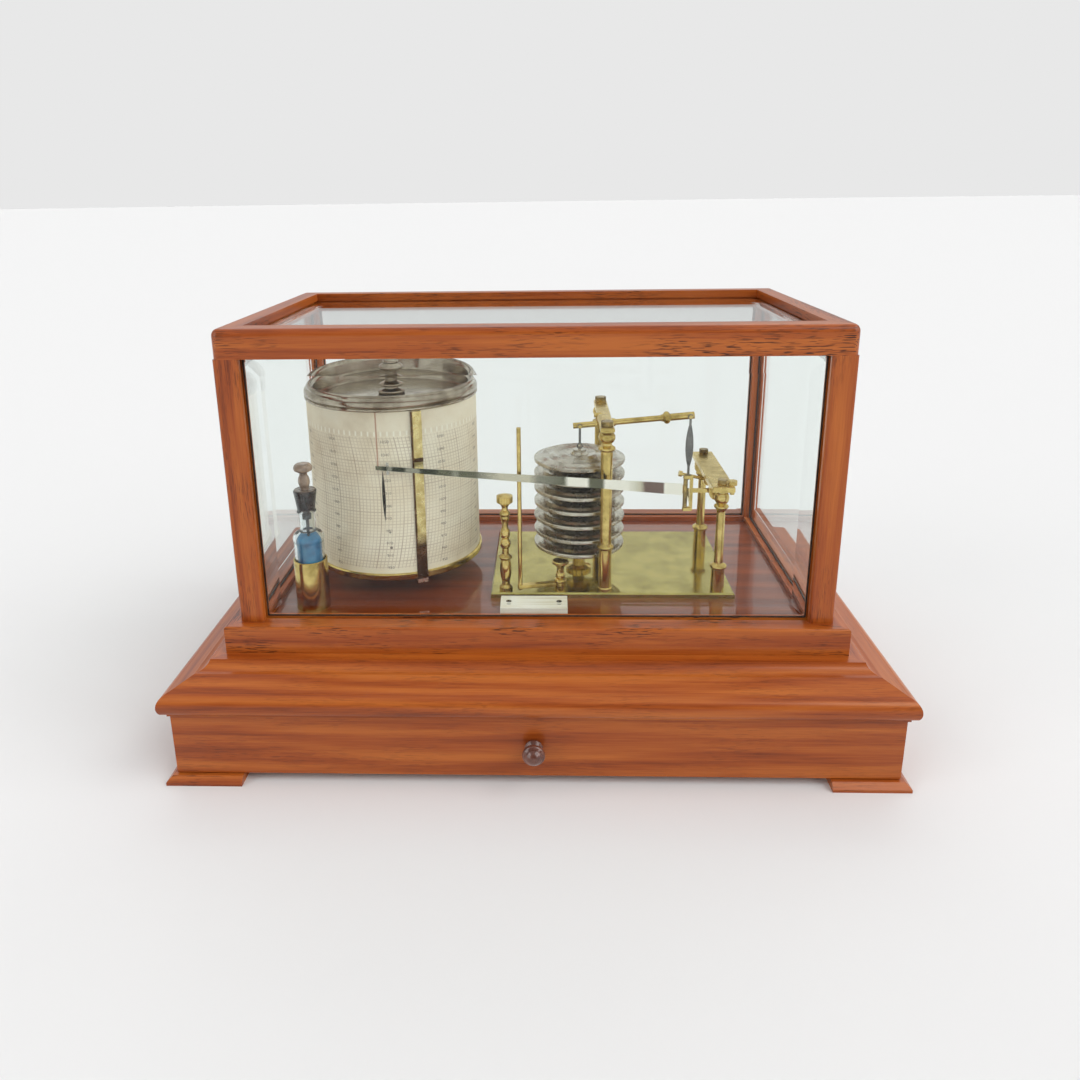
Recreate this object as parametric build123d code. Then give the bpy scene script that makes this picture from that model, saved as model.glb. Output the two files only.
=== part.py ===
"""Barograph in a glazed mahogany case: aneroid stack, lever train, clock drum and drawer base.

Millimetres, +X to the right, +Y to the back, +Z up. Places are given from the middle of the
cover's plan at the feet's bottom; save() then moves all so that the origin is the middle of the
whole outline, drawer knob included.
"""
from build123d import *
from math import atan2, cos, degrees, pi, radians, sin, sqrt, tan
import os

# Clearances
running = 0.05
loose = 0.3
slide = 0.5

# Cover, over the corner posts
case_l = 293.0
case_w = 160.0
post_side = 11.9
post_round = 1.5
post_h = 132.2
rail_over = 6.4
rail_h = 14.0
rail_round = 1.2
rail_step_l = 0.4
rail_step_w = 0.3
top_rail_h = 14.0
top_round = 3.5
glass_t = 4.0
glass_inset = 3.5
glass_edge_t = 3.0
bevel_w = 8.5
groove_d = 3.0
top_glass_drop = 4.4

# Base, given as overhangs beyond the posts' outer faces
foot_h = 4.2
foot_side = 37.3
foot_reach = 4.4
foot_slope = 2.6
box_over = 28.4
box_h = 32.4
wall_t = 9.0
bottom_t = 4.0
moulding_h = 21.1
ledge_over = 12.4
cove_over = 18.4
cove_drop = 4.6
shoulder_over = 28.0
shoulder_drop = 9.0
tip_over = 32.85
tip_drop = 14.8
under_over = 31.8
lip_over = 29.5
lip_h = 2.4
board_h = 11.3

# Drawer
front_t = 9.0
tray_wall = 5.0
tray_floor = 3.0
tray_drop = 2.0
tray_l = 190.0
runner_h = 2.0
runner_w = 8.0
knob_reach = 11.0
knob_r = 5.0
knob_shank_r = 2.5

# Bedplate of the mechanism
bed_left = -23.3
bed_right = 105.4
bed_front = -46.0
bed_back = 42.5
bed_t = 3.0
bed_chamfer = 0.8
spigot_r = 1.5
spigot_l = 2.0

# Clock drum
drum_x = -79.0
drum_y = 1.0
drum_r = 46.5
drum_gap = 10.0
paper_t = 0.3
paper_h = 88.0
drum_wall = 1.5
flange_h = 3.7
flange_lap = 1.3
drum_floor = 2.5
cap_h = 7.8
cap_lap = 1.0
cap_land = 5.0
lid_t = 1.0
spindle_r = 3.0
spindle_foot_r = 20.0
spindle_foot_t = 2.8
wheel_teeth = 60
pinion_teeth = 12
module = 0.8
wheel_t = 2.0
pinion_t = 2.8
wheel_hub_r = 5.5
pinion_side = 60.0
pinion_arbor_r = 1.2
pinion_arbor_l = 22.0
plate_room = 6.7
plate_span = 28.0
plate_t = 1.5
pillar_r = 2.2
clip_w = 5.6
clip_t = 0.85
clip_side = 24.3
clip_stand = 0.5
clip_pad_h = 15.0
clip_screws = ((1.9, 77.2), (1.4, 83.6))
clip_band_up = 61.0
clip_band_h = 2.0
nut_r = 6.9

# Aneroid stack
stack_x = 24.4
stack_y = -14.0
capsule_count = 7
capsule_r = 24.65
capsule_pitch = 8.0
capsule_rim_t = 2.2
capsule_hub_r = 5.0
stack_foot_h = 13.2
stack_foot_r = 6.4
cap_disc_t = 1.0
link_low = 3.4

# Stack bridge and beam
pillar_front_y = -41.5
pillar_back_y = 14.0
stack_bar_x = 37.2
stack_bar_w = 7.2
stack_bar_t = 2.0
stack_bar_z = 160.0
bar_end = 4.5
nut_h = 2.8
stack_nut_r = 3.1
pen_nut_r = 2.5
stud_r = 1.5
beam_pivot_x = 38.0
beam_pivot_z = 156.6
beam_tilt = 5.0
beam_r = 1.6
beam_left = 17.2
beam_right = 47.6
stack_arm = 13.6
pen_arm_lever = 45.3
beam_arbor_r = 1.0
beam_boss_r = 2.3
beam_boss_l = 11.6
cheek_t = 1.6
cheek_gap = 6.6
cheek_w = 6.0
sleeve_r = 1.95
sleeve_start = 30.0
collar_r = 3.4
collar_at = 32.9
link_t = 0.5
link_gap = 0.4
link_pin_r = 0.5
link_slack = 0.65

# Pen bridge, arbor, gate and arm
pen_bar_x = 96.6
pen_bar_w = 11.5
pen_bar_t = 3.0
pen_bar_z = 128.0
lug_t = 2.2
lug_w = 7.0
thumb_r = 2.3
thumb_h = 2.4
thumb_side = 4.9
arbor_x = 94.5
arbor_z = 124.5
arbor_r = 1.5
arbor_pivot_r = 1.0
crank_rise = 12.8
crank_l = 16.5
crank_r = 0.9
gate_collar_y = -32.0
gate_x = 76.6
gate_y = -48.3
gate_low = 119.5
gate_high = 138.2
gate_pin_r = 0.5
gate_bar = 1.6
gate_back = 2.9
arm_t = 0.4
arm_root_x = 75.2
arm_root_z = 130.6
arm_root_h = 6.0
arm_tip_x = -80.3
arm_tip_z = 142.4
arm_tip_h = 2.0
nib_reach = 0.85
nib_l = 1.4
nib_h = 6.4
nib_back = 6.0

# Pen lifter and setting column
lift_x = 13.7
lift_y = -41.5
lift_rod_x = -7.5
lift_rod_y = -45.0
lift_rod_r = 1.1
lift_rod_top = 162.4
lift_rod_low = 73.7
lever_z = 74.6
lever_t = 2.0
lever_w = 3.0
lift_spindle_r = 1.4
lift_knob_h = 12.3
setting_x = -15.3
setting_y = -41.5
setting_h = 42.0
setting_knob_h = 12.0
setting_spindle_r = 1.2

# Ink
ink_x = -116.5
ink_y = -52.0
cup_r = 8.7
cup_h = 25.8
cup_wall = 0.7
cup_floor = 1.5
bottle_r = 7.7
bottle_body_h = 34.0
bottle_h = 51.0
bottle_wall = 1.2
neck_r = 4.0
lip_r = 4.8
stopper_r = 5.85
stopper_h = 24.4
dipper_r = 0.75

# Label plate
label_l = 34.5
label_w = 13.0
label_t = 3.6
label_x = -0.2
label_y = -57.0
label_screw_span = 26.0
label_screw_r = 1.4

# Levels and half sizes that follow
box_top = foot_h + box_h
ledge_z = box_top + moulding_h
board_top = ledge_z + board_h
rail_top = ledge_z + rail_h
top_rail_z = rail_top + post_h
cover_top = top_rail_z + top_rail_h
half_l = case_l / 2
half_w = case_w / 2
post_in_l = half_l - post_side
post_in_w = half_w - post_side
rail_in_l = post_in_l + rail_step_l
rail_in_w = post_in_w + rail_step_w
box_l = case_l + 2 * box_over
box_w = case_w + 2 * box_over
bed_top = board_top + bed_t
front_y = -box_w / 2
plan_shift = (box_over + knob_reach - tip_over) / 2
drum_low = board_top + drum_gap
paper_z = drum_low + flange_h
paper_top = paper_z + paper_h
stack_low = bed_top + stack_foot_h
stack_top = stack_low + capsule_count * capsule_pitch
wheel_r = module * wheel_teeth / 2
pinion_r = module * pinion_teeth / 2
wheel_z = board_top + spindle_foot_t + 1.8
mesh_r = wheel_r + pinion_r


def block(x0, x1, y0, y1, z0, z1):
    """Box between two corners."""
    return Pos((x0 + x1) / 2, (y0 + y1) / 2, (z0 + z1) / 2) * Box(x1 - x0, y1 - y0, z1 - z0)


def disc(radius, z0, z1, x=0, y=0):
    """Upright cylinder between two heights."""
    return Pos(x, y, (z0 + z1) / 2) * Cylinder(radius, z1 - z0)


def rod_y(radius, x, y0, y1, z):
    """Cylinder along Y."""
    return Pos(x, (y0 + y1) / 2, z) * Rot(90, 0, 0) * Cylinder(radius, y1 - y0)


def rod_x(radius, x0, x1, y=0, z=0):
    """Cylinder along X."""
    return Pos((x0 + x1) / 2, y, z) * Rot(0, 90, 0) * Cylinder(radius, x1 - x0)


def outline(start, spans):
    """Closed face from points (across, up) or (across, up, bulge) of an arc."""
    edges = []
    here = start
    for across, up, *bulge in spans:
        there = (across, up)
        if bulge and bulge[0]:
            run = sqrt((across - here[0]) ** 2 + (up - here[1]) ** 2)
            side = ((up - here[1]) / run, (here[0] - across) / run)
            middle = ((here[0] + across) / 2 + side[0] * bulge[0], (here[1] + up) / 2 + side[1] * bulge[0])
            edges.append(ThreePointArc(here, middle, there))
        else:
            edges.append(Line(here, there))
        here = there
    edges.append(Line(here, start))
    return make_face(edges)


def dome(radius, height):
    """Bulge of an arc that rises by height and meets the axis squarely."""
    ball = (radius ** 2 + height ** 2) / (2 * height)
    return ball - sqrt(ball ** 2 - (radius ** 2 + height ** 2) / 4)


def turned(start, *spans):
    """Solid of revolution about Z; a positive bulge swells away from the axis."""
    return revolve(Plane.XZ * outline(start, spans), Axis.Z)


def mitred(profile, length, width):
    """Slab with the same moulded edge on four sides; the profile gives (overhang, z)."""
    def section(half):
        spans = [(half + over, z, *bulge) for over, z, *bulge in profile]
        right = outline((0, spans[0][1]), spans + [(0, spans[-1][1])])
        return right + mirror(right, Plane.YZ)
    reach = max(length, width)
    along = extrude(Plane.XZ * section(length / 2), reach, both=True)
    across = extrude(Plane.YZ * section(width / 2), reach, both=True)
    return along & across


def mitre_pieces(ring, length, width):
    """Cut a rectangular ring into its four rails along the corner mitres."""
    half_a, half_b = length / 2, width / 2
    long_side = Polyline((-half_a, -half_b), (half_a, -half_b), (half_a - half_b, 0), (half_b - half_a, 0),
                         close=True)
    short_side = Polyline((-half_a, -half_b), (half_b - half_a, 0), (-half_a, half_b), close=True)
    wedges = []
    for side in (long_side, short_side):
        wedge = extrude(make_face(side), 3 * cover_top, both=True)
        wedges += [wedge, Rot(0, 0, 180) * wedge]
    return [ring & wedge for wedge in wedges]


def knurl(radius, z0, z1, count, depth):
    """Disc with straight knurling round its edge."""
    knob = disc(radius, z0, z1)
    cuts = PolarLocations(radius, count) * Cylinder(depth, 4 * (z1 - z0))
    return knob - [Pos(0, 0, z0) * cut for cut in cuts]


def save(name, *pieces):
    """Write one node, moved so that the origin is the middle of the whole outline."""
    solids = [solid for piece in pieces for solid in piece.solids()]
    placed = [Pos(0, plan_shift, 0) * solid for solid in solids]
    export_step(placed[0] if len(placed) == 1 else Compound(placed), f"parts/{name}.step")


# Base: carcass, feet, moulding and board
def make_feet():
    reach_x = box_l / 2 + foot_reach
    reach_y = box_w / 2 + foot_reach
    pad = block(reach_x - foot_side, reach_x, reach_y - foot_side, reach_y, 0, foot_h)
    outer = [edge for edge in pad.edges().group_by(Axis.Z)[-1]
             if edge.center().X > reach_x - 1 or edge.center().Y > reach_y - 1]
    pad = chamfer(outer, foot_slope)
    backs = [pad, mirror(pad, Plane.YZ)]
    save("bracket_feet", *backs, *[mirror(piece, Plane.XZ) for piece in backs])


def make_carcass():
    wall_y = front_y + front_t + slide
    back_y = box_w / 2
    inside = box_l / 2 - wall_t
    right = block(inside, box_l / 2, wall_y, back_y, foot_h, box_top)
    back = block(-inside, inside, back_y - wall_t, back_y, foot_h, box_top)
    save("carcass_walls", right, mirror(right, Plane.YZ), back)
    floor = block(-inside, inside, wall_y, back_y - wall_t, foot_h, foot_h + bottom_t)
    save("carcass_bottom", floor)
    runner = block(inside - runner_w, inside, wall_y, back_y - wall_t, foot_h + bottom_t,
                   foot_h + bottom_t + runner_h)
    save("drawer_runners", runner, mirror(runner, Plane.YZ))


def make_moulding():
    profile = [
        (lip_over, box_top),
        (lip_over, box_top + lip_h),
        (under_over, box_top + lip_h),
        (tip_over, ledge_z - tip_drop, 0.35),
        (shoulder_over, ledge_z - shoulder_drop, 1.3),
        (cove_over, ledge_z - cove_drop),
        (ledge_over, ledge_z, -1.2),
    ]
    save("base_moulding", mitred(profile, case_l, case_w))
    board = block(-rail_in_l + loose, rail_in_l - loose, -rail_in_w + loose, rail_in_w - loose,
                  ledge_z, board_top)
    save("instrument_board", board)


# Drawer
def make_drawer():
    low = foot_h + slide
    high = box_top - slide
    middle = (low + high) / 2
    front = block(-box_l / 2, box_l / 2, front_y, front_y + front_t, low, high)
    save("drawer_front", front - rod_y(knob_shank_r + running, 0, front_y - 1, front_y + front_t + 1, middle))
    half = box_l / 2 - wall_t - slide
    floor_z = foot_h + bottom_t + runner_h + loose
    tray = block(-half, half, front_y + front_t, front_y + front_t + tray_l, floor_z, box_top - tray_drop)
    tray -= block(-half + tray_wall, half - tray_wall, front_y + front_t + tray_wall,
                  front_y + front_t + tray_l - tray_wall, floor_z + tray_floor, box_top)
    save("drawer_tray", tray)
    knob = turned(
        (0, -front_t),
        (knob_shank_r, -front_t),
        (knob_shank_r, 0),
        (knob_r * 0.8, 0),
        (knob_r * 0.8, 1.2, 0.4),
        (knob_r * 0.5, 2.4),
        (knob_r * 0.5, 3.4),
        (knob_r, 5.2),
        (knob_r, 7.4, 0.5),
        (knob_r * 0.82, 8.0),
        (knob_r * 0.82, 8.6),
        (0, knob_reach, dome(knob_r * 0.82, knob_reach - 8.6)),
    )
    save("drawer_knob", Pos(0, front_y, middle) * Rot(90, 0, 0) * knob)


# Glazed cover
def bevelled_pane(length, height):
    """Pane lying flat, its bevelled face up and its back face at z 0."""
    rim = bevel_w + groove_d
    edge = extrude(Rectangle(length, height), glass_edge_t)
    crown = loft([Pos(0, 0, glass_edge_t) * Rectangle(length, height),
                  Pos(0, 0, glass_t) * Rectangle(length - 2 * rim, height - 2 * rim)])
    return edge + crown


def make_cover():
    rail = [
        (rail_over, ledge_z),
        (rail_over, rail_top - rail_round),
        (rail_over - rail_round, rail_top, rail_round * 0.29),
    ]
    hole = block(-rail_in_l, rail_in_l, -rail_in_w, rail_in_w, ledge_z - 1, rail_top + 1)
    low_ring = mitred(rail, case_l, case_w) - hole
    top_ring = block(-half_l, half_l, -half_w, half_w, top_rail_z, cover_top)
    top_ring = fillet(top_ring.edges().filter_by(Axis.Z), top_round)
    top_ring = fillet(top_ring.edges().group_by(Axis.Z)[-1], top_round)
    top_ring -= block(-post_in_l, post_in_l, -post_in_w, post_in_w, top_rail_z - 1, cover_top + 1)

    side_x = half_l - glass_inset - glass_t
    side_y = half_w - glass_inset - glass_t
    slit = glass_t + 2 * running
    reach = groove_d + loose
    front_slot = block(-post_in_l - reach, post_in_l + reach, -side_y - glass_t - running,
                       -side_y + running, rail_top - reach, top_rail_z + reach)
    left_slot = block(-side_x - glass_t - running, -side_x + running, -post_in_w - reach,
                      post_in_w + reach, rail_top - reach, top_rail_z + reach)
    top_z = cover_top - top_glass_drop
    top_slot = block(-post_in_l - reach, post_in_l + reach, -post_in_w - reach, post_in_w + reach,
                     top_z - slit + running, top_z + running)
    slots = [front_slot, mirror(front_slot, Plane.XZ), left_slot, mirror(left_slot, Plane.YZ), top_slot]

    post = block(half_l - post_side, half_l, half_w - post_side, half_w, rail_top, top_rail_z)
    outer = post.edges().filter_by(Axis.Z).sort_by(lambda edge: edge.center().X + edge.center().Y)[1:]
    post = fillet(outer, post_round) - slots
    backs = [post, mirror(post, Plane.YZ)]
    save("cover_posts", *backs, *[mirror(piece, Plane.XZ) for piece in backs])
    low_l, low_w = case_l + 2 * rail_over, case_w + 2 * rail_over
    save("cover_bottom_rails", *mitre_pieces(low_ring - slots, low_l, low_w))
    save("cover_top_rails", *mitre_pieces(top_ring - slots, case_l, case_w))

    height = post_h + 2 * groove_d
    middle = (rail_top + top_rail_z) / 2
    long_pane = bevelled_pane(2 * (post_in_l + groove_d), height)
    short_pane = bevelled_pane(2 * (post_in_w + groove_d), height)
    save("glass_front", Pos(0, -side_y, middle) * Rot(90, 0, 0) * long_pane)
    save("glass_back", Pos(0, side_y, middle) * Rot(0, 0, 180) * Rot(90, 0, 0) * long_pane)
    save("glass_right", Pos(side_x, 0, middle) * Rot(0, 0, 90) * Rot(90, 0, 0) * short_pane)
    save("glass_left", Pos(-side_x, 0, middle) * Rot(0, 0, -90) * Rot(90, 0, 0) * short_pane)
    roof = bevelled_pane(2 * (post_in_l + groove_d), 2 * (post_in_w + groove_d))
    save("glass_top", Pos(0, 0, top_z - glass_t) * roof)


# Clock drum and its fixed wheel
def toothed(teeth, thickness, bore, share=0.44):
    """Spur gear with involute flanks, a tooth centred on +X."""
    pitch_r = module * teeth / 2
    base_r = pitch_r * cos(radians(20))
    root_r = pitch_r - module
    tip_r = pitch_r + 0.8 * module
    step = 2 * pi / teeth

    def flank(radius):
        def involute(r):
            turn = sqrt(max(r * r / base_r ** 2 - 1, 0))
            return turn - atan2(turn, 1)
        return share * step / 2 + involute(pitch_r) - involute(max(radius, base_r))

    points = []
    for tooth in range(teeth):
        middle = tooth * step
        for radius, side in ((root_r, -1), (pitch_r, -1), (tip_r, -1), (tip_r, 1), (pitch_r, 1), (root_r, 1)):
            angle = middle + side * flank(radius)
            points.append((radius * cos(angle), radius * sin(angle)))
    gear = extrude(make_face(Polyline(*points, close=True)), thickness)
    return gear - Cylinder(bore, 3 * thickness) if bore else gear


def make_drum_mount():
    lid_top = paper_top - 0.1
    nut_z = lid_top + loose
    foot = turned(
        (0, board_top),
        (spindle_foot_r, board_top),
        (spindle_foot_r, board_top + spindle_foot_t - 1),
        (spindle_foot_r - 1, board_top + spindle_foot_t),
        (spindle_r, board_top + spindle_foot_t),
        (spindle_r, nut_z + 10),
        (0, nut_z + 10),
    )
    save("drum_spindle", Pos(drum_x, drum_y, 0) * foot)
    hub = disc(wheel_hub_r, board_top + spindle_foot_t, drum_low - loose)
    wheel = Pos(0, 0, wheel_z) * toothed(wheel_teeth, wheel_t, 0) + hub
    wheel -= disc(spindle_r + running, board_top, drum_low)
    windows = PolarLocations((wheel_hub_r + wheel_r) / 2, 5) * Cylinder(5.2, 20)
    wheel -= [Pos(0, 0, wheel_z) * window for window in windows]
    save("great_wheel", Pos(drum_x, drum_y, 0) * wheel)
    nut = turned(
        (0, nut_z),
        (nut_r, nut_z),
        (nut_r, nut_z + 1.6, 0.5),
        (nut_r - 3.2, nut_z + 2.6),
        (nut_r - 3.4, nut_z + 3.4),
        (nut_r - 0.9, nut_z + 4.0),
        (nut_r - 0.9, nut_z + 5.4, 0.5),
        (nut_r - 3.6, nut_z + 6.6),
        (nut_r - 3.8, nut_z + 8.6),
        (nut_r - 0.7, nut_z + 9.6),
        (nut_r - 0.7, nut_z + 11.6, 0.5),
        (nut_r - 2.6, nut_z + 13.0),
        (nut_r - 3.6, nut_z + 15.6, 0.4),
        (0, nut_z + 16.6, dome(nut_r - 3.6, 1.0)),
    )
    nut -= disc(spindle_r + running, nut_z - 1, nut_z + 10.2)
    save("drum_nut", Pos(drum_x, drum_y, 0) * nut)


def make_drum():
    here = Pos(drum_x, drum_y, 0)
    shell_r = drum_r - paper_t - running
    inside = shell_r - drum_wall
    shell = turned(
        (spindle_r + running, drum_low),
        (drum_r + flange_lap - 0.6, drum_low),
        (drum_r + flange_lap, drum_low + 0.6),
        (drum_r + flange_lap, paper_z - 0.6),
        (drum_r + flange_lap - 0.6, paper_z),
        (shell_r, paper_z),
        (shell_r, paper_top),
        (inside, paper_top),
        (inside, drum_low + drum_floor),
        (spindle_r + running, drum_low + drum_floor),
    )
    pinion_place = Rot(0, 0, pinion_side) * Pos(mesh_r, 0, 0)
    shell -= pinion_place * disc(pinion_arbor_r + running, drum_low - 1, drum_low + drum_floor + 1)
    clip_turn = Rot(0, 0, clip_side - 90)
    clip_in = drum_r + running
    notch = block(clip_in - 2 * running, drum_r + 2 * flange_lap, -clip_w / 2 - loose, clip_w / 2 + loose,
                  drum_low - 1, paper_z + 1)
    save("drum_shell", here * (shell - clip_turn * notch))

    paper = disc(drum_r, paper_z, paper_top) - disc(drum_r - paper_t, paper_z - 1, paper_top + 1)
    save("chart", here * paper)

    bar_low = drum_low - 2.6
    strap = disc(clip_in + clip_t, bar_low, paper_top - loose) - disc(clip_in, bar_low - 1, paper_top)
    strap &= block(0, 2 * drum_r, -clip_w / 2, clip_w / 2, bar_low - 1, paper_top)
    band_z = paper_z + clip_band_up
    band = disc(clip_in + clip_t + clip_stand, band_z, band_z + clip_band_h)
    band -= disc(clip_in + clip_t - 0.1, band_z - 1, band_z + clip_band_h + 1)
    band &= block(0, 2 * drum_r, -clip_w / 2, clip_w / 2, band_z - 1, band_z + clip_band_h + 1)
    nub = block(drum_r - 3, clip_in + 0.4, -clip_w / 2 + 0.4, clip_w / 2 - 0.4, bar_low, drum_low - loose)
    pad_low = paper_top - loose - clip_pad_h
    pad = disc(clip_in + clip_t + 0.3, pad_low, paper_top - loose) - disc(clip_in + 0.1, bar_low, paper_top)
    pad &= block(0, 2 * drum_r, -clip_w / 2, clip_w / 2, pad_low, paper_top)
    heads = [rod_x(radius, clip_in + 0.3, clip_in + clip_t + clip_stand + 0.2, 0, paper_z + up)
             - rod_x(radius - 0.5, clip_in + clip_t + clip_stand, clip_in + 3, 0, paper_z + up)
             for radius, up in clip_screws]
    save("chart_clip", here * clip_turn * (strap + pad + band + nub + heads))

    rim = drum_r + cap_lap
    top = paper_top + cap_h
    land = inside - loose
    lid_z = paper_top - 0.1
    cap = turned(
        (spindle_r + running, lid_z - lid_t),
        (land, lid_z - lid_t),
        (land, paper_top),
        (rim - 0.7, paper_top),
        (rim - 0.2, paper_top + 0.6),
        (rim - 0.2, paper_top + 1.3),
        (rim - 0.9, paper_top + 1.7),
        (rim - 0.9, top - 2.2, 0.8),
        (rim - 1.6, top - 1.6),
        (rim - 2.4, top, 0.3),
        (rim - 3.6, top, 0.2),
        (rim - cap_land, top - 2.0, -0.3),
        (rim - cap_land - 1.2, lid_z + 0.7),
        (rim - cap_land - 2.4, lid_z),
        (spindle_r + running, lid_z),
    )
    save("drum_cap", here * cap)

    plate_low = drum_low + drum_floor + 2.5
    plate_high = plate_low + plate_span
    plate_r = inside - plate_room
    plates = disc(plate_r, plate_low, plate_low + plate_t) + disc(plate_r, plate_high, plate_high + plate_t)
    foot = disc(pillar_r, drum_low + drum_floor, plate_high, 0, plate_r - 2 * pillar_r)
    feet = [Rot(0, 0, turn) * foot for turn in (0, 120, 240)]
    barrel = disc(0.4 * plate_r, plate_low + plate_t, plate_low + 17, -0.5 * plate_r, 0.16 * plate_r)
    third_x, third_y = 0.21 * plate_r, -0.47 * plate_r
    third = disc(0.24 * plate_r, plate_low + 4, plate_low + 5.5, third_x, third_y)
    third += disc(pinion_arbor_r, plate_low, plate_high, third_x, third_y)
    movement = plates + feet + barrel + third
    movement -= disc(spindle_r + loose, drum_low, paper_top)
    movement -= pinion_place * disc(pinion_arbor_r + running, drum_low, plate_low + 1.6)
    movement -= pinion_place * disc(3.5, plate_low + 1.5, plate_high - 0.1)
    save("clock_movement", here * movement)

    leaves = Rot(0, 0, 180 / pinion_teeth) * toothed(pinion_teeth, pinion_t, 0)
    low = wheel_z - (pinion_t - wheel_t) / 2
    pinion = Pos(0, 0, low) * leaves + disc(pinion_arbor_r, low - 0.8, low + pinion_arbor_l)
    save("drive_pinion", here * pinion_place * pinion)


# Bedplate, pillars, bridges
def make_bedplate():
    plate = block(bed_left, bed_right, bed_front, bed_back, board_top, bed_top)
    plate = chamfer(plate.edges().group_by(Axis.Z)[-1], bed_chamfer)
    posts = [(stack_bar_x, pillar_front_y), (stack_bar_x, pillar_back_y), (pen_bar_x, pillar_front_y),
             (pen_bar_x, pillar_back_y), (stack_x, stack_y), (lift_x, lift_y), (setting_x, setting_y)]
    plate -= [disc(spigot_r + running, bed_top - spigot_l - loose, bed_top + 1, x, y) for x, y in posts]
    save("bedplate", plate)
    label = block(label_x - label_l / 2, label_x + label_l / 2, label_y - label_w / 2,
                  label_y + label_w / 2, board_top, board_top + label_t)
    save("label_plate", label)
    head = turned((0, 0), (label_screw_r, 0), (label_screw_r, 0.2),
                  (0, 0.6, dome(label_screw_r, 0.4)))
    places = [(label_x + side * label_screw_span / 2, label_y) for side in (-1, 1)]
    save("label_screws", *[Pos(x, y, board_top + label_t) * head for x, y in places])


def stack_pillar(x, y):
    seat = stack_bar_z
    pillar = turned(
        (0, bed_top - spigot_l),
        (spigot_r, bed_top - spigot_l),
        (spigot_r, bed_top),
        (3.8, bed_top),
        (3.8, bed_top + 1.6),
        (3.4, bed_top + 2.2),
        (3.4, bed_top + 23.4),
        (4.1, bed_top + 24.2),
        (4.1, bed_top + 25.6, 0.3),
        (3.1, bed_top + 26.6),
        (3.1, seat - 11.0),
        (4.2, seat - 10.2),
        (4.2, seat - 8.8, 0.3),
        (2.6, seat - 7.8),
        (2.6, seat - 6.6),
        (3.0, seat - 1.0, 1.5),
        (3.0, seat),
        (stud_r, seat),
        (stud_r, seat + stack_bar_t + nut_h - 0.8),
        (0, seat + stack_bar_t + nut_h - 0.8),
    )
    return Pos(x, y, 0) * pillar


def pen_pillar(x, y):
    seat = pen_bar_z
    pillar = turned(
        (0, bed_top - spigot_l),
        (spigot_r, bed_top - spigot_l),
        (spigot_r, bed_top),
        (3.6, bed_top),
        (3.4, bed_top + 12.4),
        (4.2, bed_top + 13.2),
        (4.2, bed_top + 14.8, 0.3),
        (2.4, bed_top + 16.0),
        (2.2, seat - 12.5),
        (3.5, seat - 9.4, -0.4),
        (3.5, seat - 8.2, 0.3),
        (2.3, seat - 7.4),
        (2.9, seat - 1.2, 1.2),
        (2.9, seat),
        (stud_r, seat),
        (stud_r, seat + pen_bar_t + nut_h - 0.8),
        (0, seat + pen_bar_t + nut_h - 0.8),
    )
    return Pos(x, y, 0) * pillar


def bridge_bar(x, width, z0, thickness):
    low = pillar_front_y - bar_end
    high = pillar_back_y + bar_end
    bar = block(x - width / 2, x + width / 2, low, high, z0, z0 + thickness)
    bar = chamfer(bar.edges().group_by(Axis.Z)[-1], 0.5)
    for y in (pillar_front_y, pillar_back_y):
        bar -= disc(stud_r + running, z0 - 1, z0 + thickness + 1, x, y)
    return bar


def make_bridges():
    save("stack_pillars", stack_pillar(stack_bar_x, pillar_front_y), stack_pillar(stack_bar_x, pillar_back_y))
    save("pen_pillars", pen_pillar(pen_bar_x, pillar_front_y), pen_pillar(pen_bar_x, pillar_back_y))

    bar = bridge_bar(stack_bar_x, stack_bar_w, stack_bar_z, stack_bar_t)
    drop = beam_pivot_z - cheek_w / 2
    for side in (-1, 1):
        inner = stack_y + side * cheek_gap / 2
        outer = inner + side * cheek_t
        y0, y1 = min(inner, outer), max(inner, outer)
        cheek = block(beam_pivot_x - cheek_w / 2, beam_pivot_x + cheek_w / 2 - 0.4, y0, y1,
                      beam_pivot_z, stack_bar_z + 0.5)
        cheek += rod_y(cheek_w / 2 - 0.4, beam_pivot_x - 0.2, y0, y1, beam_pivot_z)
        cheek -= rod_y(beam_arbor_r + running, beam_pivot_x, y0 - 1, y1 + 1, beam_pivot_z)
        bar += cheek
    screw = rod_x(1.3, stack_bar_x - stack_bar_w / 2 - 1.6, stack_bar_x - 1, stack_y, stack_bar_z + 1)
    save("stack_bridge", bar + screw)

    plate = bridge_bar(pen_bar_x, pen_bar_w, pen_bar_z, pen_bar_t)
    for y0 in (pillar_front_y + 4.2, pillar_back_y - 4.2 - lug_t):
        lug = block(arbor_x - lug_w / 2, arbor_x + lug_w / 2, y0, y0 + lug_t, arbor_z, pen_bar_z + 0.5)
        lug += rod_y(lug_w / 2, arbor_x, y0, y0 + lug_t, arbor_z)
        plate += lug - rod_y(arbor_pivot_r + running, arbor_x, y0 - 1, y0 + lug_t + 1, arbor_z)
    thumb = knurl(thumb_r, pen_bar_t, pen_bar_t + thumb_h, 14, 0.25) + disc(thumb_r / 2, -2.0, pen_bar_t)
    save("pen_bridge", plate + Pos(pen_bar_x + thumb_side, pillar_front_y - 1, pen_bar_z) * thumb)

    nuts = []
    for radius, x, z in ((stack_nut_r, stack_bar_x, stack_bar_z + stack_bar_t),
                         (pen_nut_r, pen_bar_x, pen_bar_z + pen_bar_t)):
        nut = knurl(radius, 0, nut_h, 16, 0.3) - disc(stud_r + running, -1, nut_h - 0.5)
        nuts += [Pos(x, y, z) * nut for y in (pillar_front_y, pillar_back_y)]
    save("bridge_nuts", *nuts)


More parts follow.
